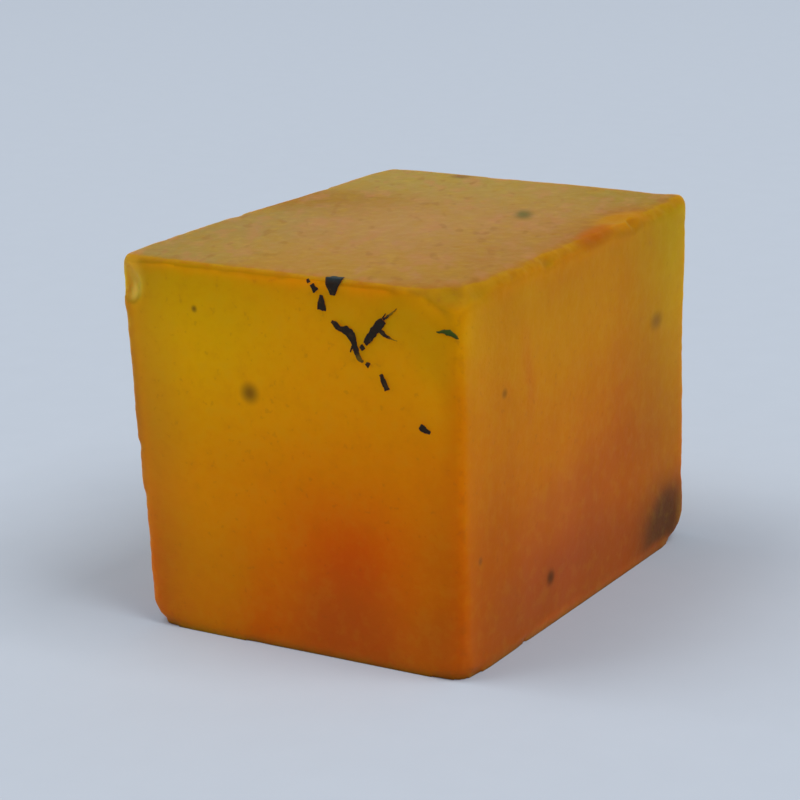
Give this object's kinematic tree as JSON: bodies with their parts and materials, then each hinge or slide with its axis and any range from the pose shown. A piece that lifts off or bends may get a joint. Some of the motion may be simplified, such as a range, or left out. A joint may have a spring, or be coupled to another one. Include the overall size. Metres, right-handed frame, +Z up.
{
  "type": "rough sapphire",
  "caption": "Roughly cubic sawn block of cloudy yellow-orange sapphire rough with worn edges, small chips and dark mineral specks; stands on its flat bottom face.",
  "frame": {"origin": "under the middle of the block, on its flat bottom face", "axes": "+Z up, the face with the dark specks towards -Y, the block's longest side along Y, and +X towards the sawn right face"},
  "size_m": [0.0194, 0.0244, 0.0195],
  "materials": {
    "sapphire": "sawn, cloudy and translucent, yellow to deep orange, with a soft waxy gloss",
    "inclusion": "dark mineral grains set in the stone's face"
  },
  "bodies": {
    "root": {"sapphire_block": "sapphire"}
  },
  "joints": []
}
